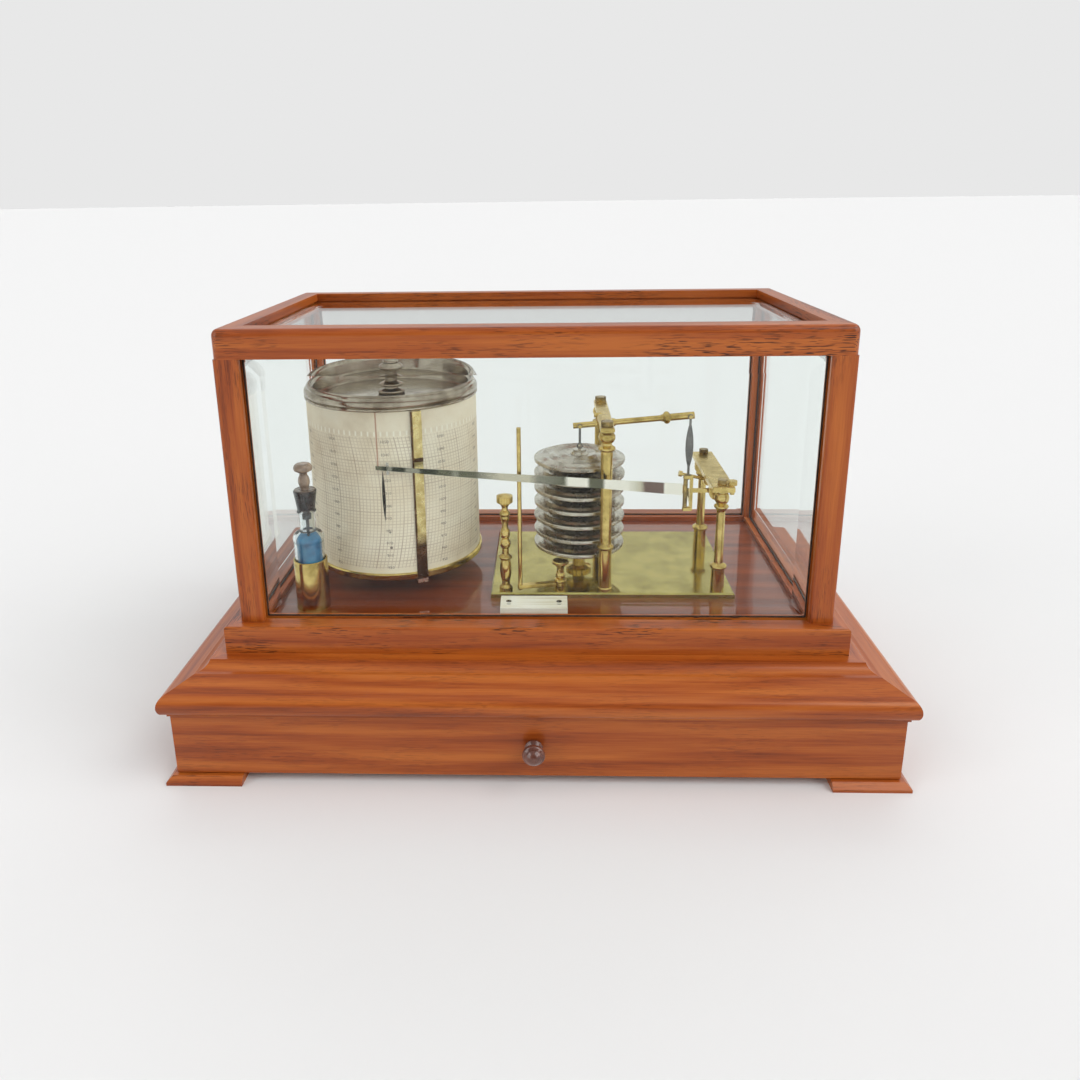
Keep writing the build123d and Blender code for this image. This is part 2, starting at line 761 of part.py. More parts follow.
# Aneroid stack
def capsule():
    """One corrugated capsule about z 0, with hubs that reach its neighbours."""
    half = capsule_pitch / 2
    rim = capsule_rim_t / 2
    upper = [
        (capsule_r - 0.5, -rim),
        (capsule_r, 0, 0.3),
        (capsule_r - 0.5, rim, 0.3),
        (capsule_r - 2.4, rim + 0.3),
        (capsule_r - 4.6, rim + 1.5),
        (capsule_r - 7.4, rim + 0.9),
        (capsule_r - 10.2, rim + 1.9),
        (capsule_r - 13.0, rim + 1.2),
        (capsule_r - 15.6, rim + 2.1),
        (capsule_hub_r, rim + 1.6),
        (capsule_hub_r - 0.6, half),
        (0, half),
        (0, -half),
        (capsule_hub_r - 0.6, -half),
        (capsule_hub_r, -rim - 1.6),
        (capsule_r - 15.6, -rim - 2.1),
        (capsule_r - 13.0, -rim - 1.2),
        (capsule_r - 10.2, -rim - 1.9),
        (capsule_r - 7.4, -rim - 0.9),
        (capsule_r - 4.6, -rim - 1.5),
    ]
    return turned((capsule_r - 2.4, -rim - 0.3), *upper)


def make_stack():
    here = Pos(stack_x, stack_y, 0)
    foot = turned(
        (0, bed_top - spigot_l),
        (spigot_r, bed_top - spigot_l),
        (spigot_r, bed_top),
        (7.0, bed_top),
        (7.0, bed_top + 1.6),
        (3.6, bed_top + 3.0),
        (3.2, stack_low - 5.0),
        (stack_foot_r, stack_low - 3.8, -0.3),
        (stack_foot_r, stack_low - 0.6),
        (stack_foot_r - 0.6, stack_low),
        (0, stack_low),
    )
    save("stack_foot", here * foot)
    one = capsule()
    for number in range(capsule_count):
        middle = stack_top - (number + 0.5) * capsule_pitch
        save(f"capsule_{number + 1}", here * Pos(0, 0, middle) * one)
    link_y = -beam_r - link_gap - link_t
    pin_z = stack_top + link_low
    cap = disc(3.6, stack_top, stack_top + cap_disc_t) + disc(0.9, stack_top + cap_disc_t, pin_z + 0.8)
    cap += rod_y(link_pin_r - 0.1, 0, link_y - 0.6, 0, pin_z)
    save("stack_cap", here * cap)


# Beam and its two links
def tilted(piece):
    """Place a piece drawn along X from the beam's pivot."""
    return Pos(beam_pivot_x, stack_y, beam_pivot_z) * Rot(0, -beam_tilt, 0) * piece


def link_plate(length, wide, low_hole):
    """Flat link hanging from its top eye at the origin, in the XZ plane, front face at y -link_t."""
    eye = 1.35
    low_eye = low_hole + 0.65
    waist = 0.65
    half = [
        (waist, -length),
        (waist, -0.82 * length),
        (wide / 2, -0.5 * length, 0.25 * (wide / 2 - waist)),
        (waist, -0.14 * length, 0.25 * (wide / 2 - waist)),
        (waist, 0),
    ]
    side = outline((0, -length), half + [(0, 0)])
    flat = side + mirror(side, Plane.YZ) + Circle(eye) + Pos(0, -length) * Circle(low_eye)
    flat -= Circle(link_pin_r + running)
    flat -= Pos(0, -length) * Circle(low_hole)
    return extrude(Plane.XZ * flat, link_t)


def make_beam():
    bar = rod_x(beam_r, -beam_left, beam_right)
    boss = Rot(0, 90, 0) * turned(
        (0, -beam_boss_l / 2),
        (beam_r + 0.1, -beam_boss_l / 2),
        (beam_boss_r, -beam_boss_l / 2 + 1.4, 0.1),
        (beam_boss_r, beam_boss_l / 2 - 1.4),
        (beam_r + 0.1, beam_boss_l / 2, 0.1),
        (0, beam_boss_l / 2),
    )
    reach = cheek_gap / 2 + cheek_t + 0.4
    arbor = rod_y(beam_arbor_r, 0, -reach, reach, 0)
    stack_pin = rod_y(link_pin_r, -stack_arm, -beam_r - link_gap - link_t - 0.5, 0, 0)
    stack_pin += rod_y(2 * link_pin_r, -stack_arm, -beam_r - link_gap - link_t - 0.7,
                       -beam_r - link_gap - link_t - 0.2, 0)
    save("beam", tilted(bar + boss + arbor + stack_pin))

    tube = rod_x(sleeve_r, sleeve_start, beam_right)
    collar = Pos(collar_at, 0, 0) * Rot(0, 90, 0) * turned(
        (0, -2.0), (sleeve_r, -2.0), (2.4, -1.6), (2.4, 1.6, collar_r - 2.4), (sleeve_r, 2.0), (0, 2.0))
    plate_front = sleeve_r + link_gap + link_t
    pin = rod_y(link_pin_r, pen_arm_lever, -plate_front - 0.5, -sleeve_r + 0.2, 0)
    pin += rod_y(2 * link_pin_r, pen_arm_lever, -plate_front - 0.7, -plate_front - 0.2, 0)
    bore = rod_x(beam_r + running, sleeve_start - 1, beam_right + 1)
    save("beam_sleeve", tilted(tube + collar + pin - bore))

    top = Pos(-stack_arm * cos(radians(beam_tilt)), 0, -stack_arm * sin(radians(beam_tilt)))
    pivot = Pos(beam_pivot_x, stack_y, beam_pivot_z)
    stack_top_z = beam_pivot_z - stack_arm * sin(radians(beam_tilt))
    short = link_plate(stack_top_z - stack_top - link_low, 1.3, link_pin_r - 0.1 + link_slack)
    save("stack_link", pivot * top * Pos(0, -beam_r - link_gap, 0) * short)
    far = Pos(pen_arm_lever * cos(radians(beam_tilt)), 0, pen_arm_lever * sin(radians(beam_tilt)))
    long = link_plate(pen_link_l, 4.2, link_pin_r - 0.05 + link_slack)
    save("pen_link", pivot * far * Pos(0, -sleeve_r - link_gap, 0) * long)


# Pen arbor, gate and arm
pen_pin_x = beam_pivot_x + pen_arm_lever * cos(radians(beam_tilt))
crank_arm = arbor_x - pen_pin_x
crank_pin_z = arbor_z + crank_arm * tan(radians(crank_rise))
pen_link_l = beam_pivot_z + pen_arm_lever * sin(radians(beam_tilt)) - crank_pin_z


def make_pen():
    front_lug = pillar_front_y + 4.2
    back_lug = pillar_back_y - 4.2
    arbor = rod_y(arbor_r, arbor_x, front_lug + lug_t + loose, back_lug - lug_t - loose, arbor_z)
    arbor += rod_y(arbor_pivot_r, arbor_x, front_lug - 0.4, back_lug + 0.4, arbor_z)
    arbor += rod_y(2.8, arbor_x, stack_y - 2, stack_y + 2, arbor_z)
    arbor += rod_y(2.9, arbor_x, gate_collar_y - 2.4, gate_collar_y + 2.4, arbor_z)
    crank = rod_x(crank_r, -crank_l, 0) + rod_x(1.6, -crank_l, -crank_l + 1.8)
    arbor += Pos(arbor_x, stack_y, arbor_z) * Rot(0, crank_rise, 0) * crank
    plate_front = stack_y - sleeve_r - link_gap - link_t
    arbor += rod_y(link_pin_r - 0.05, pen_pin_x, plate_front - 0.6, stack_y, crank_pin_z)
    bar_x = gate_x + gate_back
    half = gate_bar / 2
    arbor += block(bar_x - half, arbor_x, gate_collar_y - half, gate_collar_y + half, arbor_z - 1, arbor_z + 1)
    arbor += block(bar_x - half, bar_x + half, gate_y - half, gate_collar_y + half, arbor_z - 1, arbor_z + 1)
    arbor += block(bar_x - half, bar_x + half, gate_y - half, gate_y + half, gate_low, gate_high)
    for z0 in (gate_low, gate_high - gate_bar):
        lug = block(gate_x, bar_x, gate_y - 1.3, gate_y + 1.3, z0, z0 + gate_bar)
        lug += disc(1.3, z0, z0 + gate_bar, gate_x, gate_y)
        arbor += lug - disc(gate_pin_r + running, z0 - 1, z0 + gate_bar + 1, gate_x, gate_y)
    save("pen_arbor", arbor)

    low, high = gate_low + gate_bar + loose, gate_high - gate_bar - loose
    gate = disc(gate_pin_r, gate_low - 0.5, gate_high + 0.5, gate_x, gate_y)
    gate += disc(1.1, low, high, gate_x, gate_y)
    face = gate_y + arm_t / 2
    slope = (arm_tip_z - arm_root_z) / (arm_tip_x - arm_root_x)
    clip_z = arm_root_z
    gate += block(gate_x - 7, gate_x, face, face + 0.7, clip_z - 2.2, clip_z + 2.2)
    save("pen_gate", gate)

    half_root, half_tip = arm_root_h / 2, arm_tip_h / 2
    strip = Polyline((arm_root_x, arm_root_z - half_root), (arm_root_x, arm_root_z + half_root),
                     (arm_tip_x, arm_tip_z + half_tip), (arm_tip_x, arm_tip_z - half_tip), close=True)
    arm = extrude(Plane.XZ * make_face(strip), arm_t)
    save("pen_arm", Pos(0, face, 0) * arm)

    wide = Plane.XZ * Rectangle(nib_l, nib_h)
    fine = Plane.XZ * Rectangle(0.3, 0.3)
    nib = loft([wide, Pos(0, nib_reach, 0) * fine])
    save("pen_nib", Pos(arm_tip_x + nib_back, face, arm_tip_z + slope * nib_back) * nib)


# Pen lifter and setting column
def make_lifter():
    post = turned(
        (0, bed_top - spigot_l),
        (spigot_r, bed_top - spigot_l),
        (spigot_r, bed_top),
        (3.1, bed_top),
        (3.1, lever_z - loose),
        (lift_spindle_r, lever_z - loose),
        (lift_spindle_r, lever_z + lever_t + 7),
        (0, lever_z + lever_t + 7),
    )
    save("lift_post", Pos(lift_x, lift_y, 0) * post)
    bore = disc(lift_spindle_r + running, lever_z - 1, lever_z + lever_t + 7.4, lift_x, lift_y)
    run = sqrt((lift_rod_x - lift_x) ** 2 + (lift_rod_y - lift_y) ** 2)
    turn = degrees(atan2(lift_rod_y - lift_y, lift_rod_x - lift_x))
    arm = Pos(lift_x, lift_y, 0) * Rot(0, 0, turn) * block(0, run, -lever_w / 2, lever_w / 2,
                                                         lever_z, lever_z + lever_t)
    lever = arm + disc(2.9, lever_z, lever_z + lever_t, lift_x, lift_y)
    lever += disc(lever_w / 2, lever_z, lever_z + lever_t, lift_rod_x, lift_rod_y)
    lever += disc(lift_rod_r, lift_rod_low, lift_rod_top, lift_rod_x, lift_rod_y)
    save("lift_lever", lever - bore)
    base = lever_z + lever_t
    knob = turned(
        (0, base),
        (2.9, base),
        (2.9, base + 1.8, 0.4),
        (2.2, base + 2.2),
        (1.9, base + 5.6, 0.5),
        (1.9, base + 7.4),
        (4.5, base + lift_knob_h - 1.4, -0.6),
        (4.5, base + lift_knob_h - 0.4),
        (3.8, base + lift_knob_h),
        (0, base + lift_knob_h),
    )
    save("lift_knob", Pos(lift_x, lift_y, 0) * knob - bore)

    top = bed_top + setting_h
    column = turned(
        (0, bed_top - spigot_l),
        (spigot_r, bed_top - spigot_l),
        (spigot_r, bed_top),
        (3.5, bed_top),
        (3.5, bed_top + 2.0),
        (2.1, bed_top + 3.4),
        (2.1, bed_top + 5.4),
        (2.4, bed_top + 17.5, 0.8),
        (3.3, bed_top + 18.4),
        (3.3, bed_top + 19.6, 0.3),
        (1.8, bed_top + 20.8),
        (1.8, bed_top + 24.0),
        (2.9, bed_top + 26.4, 0.3),
        (1.7, bed_top + 29.6, 0.4),
        (2.6, bed_top + 32.4, 0.3),
        (1.7, bed_top + 35.4, 0.3),
        (2.4, top - 1.2, -0.3),
        (2.4, top),
        (0, top),
    )
    socket = disc(setting_spindle_r + running, top - 9, top + 1)
    save("setting_column", Pos(setting_x, setting_y, 0) * (column - socket))
    stem = turned(
        (0, top - 8.6),
        (setting_spindle_r, top - 8.6),
        (setting_spindle_r, top + loose),
        (2.4, top + loose),
        (2.4, top + 2.4, 0.4),
        (1.6, top + 3.2),
        (1.6, top + 4.6),
        (4.2, top + 7.8, -0.4),
        (4.2, top + 8.0),
        (0, top + 8.0),
    )
    head = knurl(4.25, top + 7.6, top + setting_knob_h - 1, 20, 0.3)
    crown = turned((0, top + setting_knob_h - 1), (3.6, top + setting_knob_h - 1),
                   (0, top + setting_knob_h, dome(3.6, 1.0)))
    save("setting_knob", Pos(setting_x, setting_y, 0) * (stem + head + crown))


# Ink cup, bottle and stopper
def make_ink():
    here = Pos(ink_x, ink_y, 0)
    cup_in = cup_r - cup_wall
    top = board_top + cup_h
    cup = turned(
        (0, board_top),
        (cup_r, board_top),
        (cup_r, top - 0.3),
        (cup_r - 0.3, top),
        (cup_in, top),
        (cup_in, board_top + cup_floor),
        (0, board_top + cup_floor),
    )
    save("ink_cup", here * cup)
    low = board_top + cup_floor + loose
    body = low + bottle_body_h
    lip = low + bottle_h
    inner = bottle_r - bottle_wall
    neck_in = neck_r - bottle_wall
    bottle = turned(
        (0, low),
        (bottle_r - 1, low),
        (bottle_r, low + 1, 0.3),
        (bottle_r, body),
        (neck_r + 0.4, body + 5.2, 1.6),
        (neck_r, body + 6.4, -0.2),
        (neck_r, lip - 1.8),
        (lip_r, lip - 1.4),
        (lip_r, lip - 0.4, 0.2),
        (lip_r - 0.4, lip),
        (neck_in, lip),
        (neck_in, body + 5.4),
        (inner, body - 0.6, -1.6),
        (inner, low + 2.6),
        (inner - 1, low + 1.6),
        (0, low + 1.6),
    )
    save("ink_bottle", here * bottle)
    plug_r = neck_in - loose
    stopper = turned(
        (0, low + 4.0),
        (dipper_r, low + 4.0),
        (dipper_r, lip - 5),
        (plug_r - 0.2, lip - 5),
        (plug_r, lip),
        (lip_r - 0.3, lip),
        (stopper_r, lip + 10.0),
        (stopper_r - 0.6, lip + 10.7),
        (2.2, lip + 10.7),
        (2.0, lip + 11.6),
        (2.0, lip + 18.2, 0.95),
        (2.0, lip + 19.4),
        (4.4, lip + 20.8),
        (4.5, lip + 23.0, 0.3),
        (2.4, lip + stopper_h, 0.4),
        (0, lip + stopper_h),
    )
    save("stopper", here * stopper)


def main():
    os.makedirs("parts", exist_ok=True)
    make_feet()
    make_carcass()
    make_moulding()
    make_drawer()
    make_cover()
    make_drum_mount()
    make_drum()
    make_bedplate()
    make_bridges()
    make_stack()
    make_beam()
    make_pen()
    make_lifter()
    make_ink()


main()
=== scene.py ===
# Barograph in a glazed mahogany case: camera, studio, finishes and the small pieces over the CAD frame
from math import cos, pi, radians, sin

import bmesh
import bpy
from mathutils import Matrix, Vector


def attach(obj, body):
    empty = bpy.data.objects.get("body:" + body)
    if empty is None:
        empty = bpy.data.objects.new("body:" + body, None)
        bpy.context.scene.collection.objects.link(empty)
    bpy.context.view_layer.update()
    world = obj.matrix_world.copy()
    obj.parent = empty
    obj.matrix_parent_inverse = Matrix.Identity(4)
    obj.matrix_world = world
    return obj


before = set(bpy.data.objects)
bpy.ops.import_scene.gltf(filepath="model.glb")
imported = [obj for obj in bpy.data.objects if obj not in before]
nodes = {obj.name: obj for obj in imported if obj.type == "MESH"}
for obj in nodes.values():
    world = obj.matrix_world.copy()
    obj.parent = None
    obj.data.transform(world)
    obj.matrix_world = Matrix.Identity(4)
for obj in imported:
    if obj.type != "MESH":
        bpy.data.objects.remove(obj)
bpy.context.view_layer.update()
planShift = 0.003275  # the case's middle lies this far behind the frame's origin
print("frame loaded")


# Camera, fitted to the edges of the case in the photograph
shot = {
    "place": (0.0066555, -0.4653958 + planShift, 0.2734567),
    "right": (0.99939933, 0.03221504, -0.01277376),
    "up": (0.00326036, 0.27955821, 0.96012321),
    "forward": (-0.03450142, 0.95958814, -0.27928526),
    "lens": 28.767,
    "shift": (0.02136, -0.08471),
}


def setCamera():
    lens = bpy.data.cameras.new("camera")
    lens.sensor_width = 36.0
    lens.lens = shot["lens"]
    lens.shift_x, lens.shift_y = shot["shift"]
    lens.clip_start = 0.01
    lens.clip_end = 200.0
    camera = bpy.data.objects.new("camera", lens)
    columns = [Vector(shot["right"]), Vector(shot["up"]), -Vector(shot["forward"])]
    turn = Matrix(columns).transposed().to_4x4()
    camera.matrix_world = Matrix.Translation(shot["place"]) @ turn
    bpy.context.collection.objects.link(camera)
    bpy.context.scene.camera = camera


setCamera()
print("camera set")


# Node helpers
def put(tree, kind, wires=None, **settings):
    made = tree.nodes.new(kind)
    for name, value in settings.items():
        setattr(made, name, value)
    for key, value in (wires or {}).items():
        if isinstance(value, bpy.types.NodeSocket):
            tree.links.new(value, made.inputs[key])
        else:
            made.inputs[key].default_value = value
    return made


def calc(tree, operation, *values):
    return put(tree, "ShaderNodeMath", dict(enumerate(values)), operation=operation).outputs[0]


def blendColour(tree, share, first, second, how="MIX"):
    wires = {0: share, 6: first, 7: second}
    return put(tree, "ShaderNodeMix", wires, data_type="RGBA", blend_type=how).outputs[2]


def ramp(tree, share, stops):
    made = put(tree, "ShaderNodeValToRGB", {0: share})
    spots = made.color_ramp.elements
    while len(spots) < len(stops):
        spots.new(1.0)
    for spot, (place, tone) in zip(spots, stops):
        spot.position = place
        spot.color = (*tone, 1.0) if len(tone) == 3 else tone
    return made.outputs[0]


def spread(tree, value, low, high, newLow=0.0, newHigh=1.0):
    wires = {0: value, 1: low, 2: high, 3: newLow, 4: newHigh}
    return put(tree, "ShaderNodeMapRange", wires).outputs[0]


def band(tree, value, middle, half, soft):
    away = calc(tree, "ABSOLUTE", calc(tree, "SUBTRACT", value, middle))
    return spread(tree, away, half, half + soft, 1.0, 0.0)


def stretch(tree, vector, scale, offset=(0.0, 0.0, 0.0)):
    wires = {"Vector": vector, "Scale": scale, "Location": offset}
    return put(tree, "ShaderNodeMapping", wires).outputs[0]


def mottle(tree, vector, size=1.0, detail=3.0, rough=0.5, warp=0.0):
    wires = {"Vector": vector, "Scale": size, "Detail": detail, "Roughness": rough, "Distortion": warp}
    return put(tree, "ShaderNodeTexNoise", wires).outputs[0]


def newFinish(name):
    material = bpy.data.materials.new(name)
    material.use_nodes = True
    shader = material.node_tree.nodes["Principled BSDF"]
    return material, material.node_tree, shader


def objectPlace(tree):
    place = put(tree, "ShaderNodeTexCoord").outputs["Object"]
    axes = put(tree, "ShaderNodeSeparateXYZ", {0: place}).outputs
    return place, axes[0], axes[1], axes[2]


def bump(tree, shader, height, strength, depth):
    wires = {"Height": height, "Strength": strength, "Distance": depth}
    made = put(tree, "ShaderNodeBump", wires)
    tree.links.new(made.outputs[0], shader.inputs["Normal"])


def dress(finish, *names):
    for name in names:
        for slot in nodes[name].material_slots:
            slot.material = finish


# Mahogany: the grain follows each board, and turns at the mitres where halves is given
mahogany = {
    "pale": (0.47, 0.125, 0.018),
    "mid": (0.335, 0.068, 0.008),
    "dark": (0.18, 0.030, 0.004),
    "pore": (0.045, 0.010, 0.003),
    "shine": 0.3,
    "coat": 0.25,
    "coatRough": 0.10,
    "slow": (5.0, 26.0, 26.0),
    "figure": (7.0, 230.0, 230.0),
    "fibre": (45.0, 1300.0, 1300.0),
    "dashes": (150.0, 2100.0, 2100.0),
    "patch": (22.0, 60.0, 60.0),
    "ringRise": (430.0, 520.0),
    "ringDrift": 13.0,
}


def woodFinish(name, along="x", halves=None, offset=0.0, fleck=0.5, **change):
    look = {**mahogany, **change}
    material, tree, shader = newFinish(name)
    place, x, y, z = objectPlace(tree)
    order = {"x": (x, y, z), "y": (y, x, z), "z": (z, x, y)}[along]
    grain = put(tree, "ShaderNodeCombineXYZ", dict(enumerate(order))).outputs[0]
    if halves:
        pastLength = calc(tree, "SUBTRACT", calc(tree, "ABSOLUTE", x), halves[0])
        middleY = calc(tree, "SUBTRACT", y, planShift)
        pastWidth = calc(tree, "SUBTRACT", calc(tree, "ABSOLUTE", middleY), halves[1])
        onSide = calc(tree, "GREATER_THAN", pastLength, pastWidth)
        sideways = put(tree, "ShaderNodeCombineXYZ", {0: calc(tree, "ADD", y, 0.6), 1: x, 2: z}).outputs[0]
        grain = put(tree, "ShaderNodeMix", {0: onSide, 4: grain, 5: sideways}, data_type="VECTOR").outputs[1]
    start = (offset, 0.37 * offset, 0.71 * offset)

    def streaks(kind, **shape):
        return mottle(tree, stretch(tree, grain, look[kind], start), **shape)

    slow = streaks("slow", detail=2.0)
    figure = streaks("figure", detail=5.0, rough=0.6, warp=0.3)
    fibre = streaks("fibre", detail=3.0)
    rows = put(tree, "ShaderNodeSeparateXYZ", {0: grain}).outputs
    riseDeep, riseUp = look["ringRise"]
    rise = calc(tree, "MULTIPLY", rows[1], riseDeep)
    rise = calc(tree, "ADD", calc(tree, "MULTIPLY", rows[2], riseUp), rise)
    phase = calc(tree, "ADD", rise, calc(tree, "MULTIPLY", slow, look["ringDrift"]))
    rings = calc(tree, "MULTIPLY_ADD", calc(tree, "SINE", phase), 0.5, 0.5)
    tone = calc(tree, "ADD", calc(tree, "MULTIPLY", figure, 0.55), calc(tree, "MULTIPLY", rings, 0.13))
    tone = calc(tree, "ADD", tone, calc(tree, "MULTIPLY", fibre, 0.22))
    tone = calc(tree, "ADD", tone, calc(tree, "MULTIPLY", slow, 0.18))
    body = ramp(tree, tone, [(0.34, look["dark"]), (0.49, look["mid"]), (0.68, look["pale"])])
    dashes = streaks("dashes", detail=1.0)
    patch = streaks("patch", detail=2.0)
    open_ = calc(tree, "MULTIPLY", spread(tree, dashes, 0.54, 0.64), spread(tree, patch, 0.42, 0.62))
    pores = calc(tree, "MULTIPLY", open_, fleck)
    tree.links.new(blendColour(tree, pores, body, (*look["pore"], 1.0)), shader.inputs["Base Color"])
    rough = calc(tree, "MULTIPLY_ADD", fibre, 0.2, 0.24)
    tree.links.new(rough, shader.inputs["Roughness"])
    height = calc(tree, "SUBTRACT", calc(tree, "MULTIPLY", fibre, 0.4), pores)
    bump(tree, shader, height, 0.25, 0.0002)
    shader.inputs["Specular IOR Level"].default_value = look["shine"]
    shader.inputs["Coat Weight"].default_value = look["coat"]
    shader.inputs["Coat Roughness"].default_value = look["coatRough"]
    return material


# Half length and half width of each mitred frame, at its outer corner
mitres = {
    "bottomRails": (0.1529, 0.0864),
    "topRails": (0.1465, 0.080),
    "moulding": (0.17935, 0.11285),
    "walls": (0.1749, 0.1084),
}


def dressWood():
    dress(woodFinish("rail wood", halves=mitres["bottomRails"], offset=3.1, fleck=0.95), "cover_bottom_rails")
    dress(woodFinish("top rail wood", halves=mitres["topRails"], offset=7.7, fleck=0.95), "cover_top_rails")
    dress(woodFinish("post wood", along="z", offset=1.3, fleck=0.55), "cover_posts")
    dress(woodFinish("moulding wood", halves=mitres["moulding"], offset=5.2, fleck=0.3), "base_moulding")
    dress(woodFinish("drawer front wood", offset=9.4, fleck=0.3), "drawer_front")
    dress(woodFinish("side wood", halves=mitres["walls"], offset=2.6, fleck=0.3), "carcass_walls")
    dress(woodFinish("foot wood", offset=4.4, fleck=0.6), "bracket_feet")
    dress(woodFinish("board wood", offset=6.5, fleck=0.25, pale=(0.22, 0.045, 0.009),
                     mid=(0.14, 0.024, 0.006), dark=(0.065, 0.011, 0.004),
                     coat=0.9, coatRough=0.03), "instrument_board")
    pine = {"pale": (0.50, 0.30, 0.13), "mid": (0.40, 0.22, 0.09), "dark": (0.28, 0.14, 0.05),
            "pore": (0.16, 0.08, 0.03), "coat": 0.0}
    dress(woodFinish("tray wood", offset=8.0, fleck=0.3, **pine), "drawer_tray", "drawer_runners")
    dress(woodFinish("bottom wood", offset=8.9, fleck=0.3, **pine), "carcass_bottom")
    dress(woodFinish("knob wood", along="y", offset=1.9, fleck=0.8, pale=(0.20, 0.06, 0.03),
                     mid=(0.12, 0.035, 0.02), dark=(0.05, 0.015, 0.01),
                     coat=1.0, coatRough=0.05), "drawer_knob")


dressWood()
print("wood finished")


# Metals
brassLook = {"bright": (0.76, 0.58, 0.21), "dull": (0.46, 0.33, 0.095), "smooth": 0.10, "rough": 0.26,
             "grit": 90.0, "lines": 0.12}
nickelLook = {"bright": (0.66, 0.62, 0.53), "dull": (0.42, 0.38, 0.31), "smooth": 0.16, "rough": 0.34,
              "grit": 120.0, "lines": 0.1}
bronzeLook = {"bright": (0.50, 0.44, 0.35), "dull": (0.26, 0.21, 0.15), "smooth": 0.12, "rough": 0.26,
              "grit": 70.0, "lines": 0.15}
steelLook = {"bright": (0.24, 0.23, 0.22), "dull": (0.10, 0.10, 0.10), "smooth": 0.15, "rough": 0.35,
             "grit": 200.0, "lines": 0.05}


def metalFinish(name, look, axis=None, lineScale=2600.0, centre=(0.0, 0.0)):
    material, tree, shader = newFinish(name)
    place, x, y, z = objectPlace(tree)
    spots = mottle(tree, place, look["grit"], detail=5.0, rough=0.65)
    fine = mottle(tree, place, 14.0 * look["grit"], detail=2.0)
    worn = spread(tree, spots, 0.40, 0.66)
    colour = blendColour(tree, worn, (*look["bright"], 1.0), (*look["dull"], 1.0))
    tree.links.new(colour, shader.inputs["Base Color"])
    share = calc(tree, "MULTIPLY_ADD", fine, 0.4, calc(tree, "MULTIPLY", worn, 0.6))
    tree.links.new(spread(tree, share, 0.0, 1.0, look["smooth"], look["rough"]), shader.inputs["Roughness"])
    shader.inputs["Metallic"].default_value = 1.0
    if axis == "round":
        across = calc(tree, "SUBTRACT", x, centre[0])
        deep = calc(tree, "SUBTRACT", y, centre[1])
        reach = calc(tree, "ADD", calc(tree, "MULTIPLY", across, across), calc(tree, "MULTIPLY", deep, deep))
        track = put(tree, "ShaderNodeCombineXYZ", {0: calc(tree, "SQRT", reach), 2: z}).outputs[0]
        lines = mottle(tree, stretch(tree, track, (lineScale, 1.0, lineScale)), detail=2.0)
    elif axis:
        keep = {"x": (1.0, 30.0, 30.0), "y": (30.0, 1.0, 30.0), "z": (1.0, 1.0, 60.0)}[axis]
        thin = tuple(lineScale * side / 60.0 for side in keep)
        lines = mottle(tree, stretch(tree, place, thin), detail=3.0)
    else:
        lines = fine
    bump(tree, shader, lines, look["lines"], 0.0001)
    return material


drumCentre = (-0.079, 0.001 + planShift)
stackCentre = (0.0244, -0.014 + planShift)


def dressMetal():
    dress(metalFinish("turned brass", brassLook, "z"), "stack_pillars", "pen_pillars", "stack_foot",
          "setting_column", "lift_post", "ink_cup", "lift_knob", "setting_knob", "great_wheel",
          "drum_spindle", "clock_movement", "drive_pinion")
    bridge = {**brassLook, "smooth": 0.2, "rough": 0.4, "lines": 0.3}
    dress(metalFinish("bridge brass", bridge, "y"), "stack_bridge", "pen_bridge")
    lever = {**brassLook, "lines": 0.2}
    dress(metalFinish("lever brass", lever, "x"), "beam", "beam_sleeve", "pen_arbor", "lift_lever")
    nut = {**brassLook, "bright": (0.55, 0.40, 0.15), "dull": (0.12, 0.08, 0.03)}
    dress(metalFinish("nut brass", nut), "bridge_nuts", "pen_gate")
    plate = {**brassLook, "bright": (0.58, 0.49, 0.17), "dull": (0.40, 0.33, 0.10), "smooth": 0.05,
             "rough": 0.17, "grit": 60.0, "lines": 0.05}
    dress(metalFinish("bedplate brass", plate, "x"), "bedplate")
    dress(metalFinish("drum brass", brassLook, "round", centre=drumCentre), "drum_shell")
    dress(metalFinish("cap bronze", bronzeLook, "round", centre=drumCentre), "drum_cap", "drum_nut")
    capsules = [f"capsule_{number}" for number in range(1, 8)]
    dress(metalFinish("capsule nickel", nickelLook, "round", centre=stackCentre), "stack_cap", *capsules)
    dress(metalFinish("blued steel", steelLook), "stack_link", "pen_link", "label_screws")
    dress(metalFinish("nib steel", {**nickelLook, "bright": (0.5, 0.5, 0.46)}), "pen_nib")


dressMetal()
print("metal finished")


# Pen arm: nickel silver, with light and dark bands along its length from the nib (0) to the arbor (1):
# painted reflections, partly stain
armEnds = (-0.0803, 0.0752)
armRoot = (0.937, 0.943)
dusk, drab, pewter, cream, white, russet = ((0.05, 0.055, 0.038), (0.15, 0.15, 0.10), (0.30, 0.29, 0.23),
                                            (0.60, 0.56, 0.43), (0.93, 0.90, 0.79), (0.20, 0.14, 0.12))
armStainAndReflections = [(0.0, drab), (0.018, drab), (0.024, dusk), (0.036, dusk), (0.042, pewter), (0.052, pewter),
            (0.057, dusk), (0.094, dusk), (0.10, pewter), (0.14, pewter), (0.15, dusk), (0.195, dusk),
            (0.205, drab), (0.245, drab), (0.255, pewter), (0.268, pewter), (0.275, drab), (0.325, drab),
            (0.34, pewter), (0.41, cream), (0.50, cream), (0.53, pewter), (0.615, drab), (0.63, white),
            (0.69, white), (0.70, drab), (0.74, drab), (0.75, white), (0.82, white), (0.865, cream),
            (0.88, russet), (0.935, russet)]


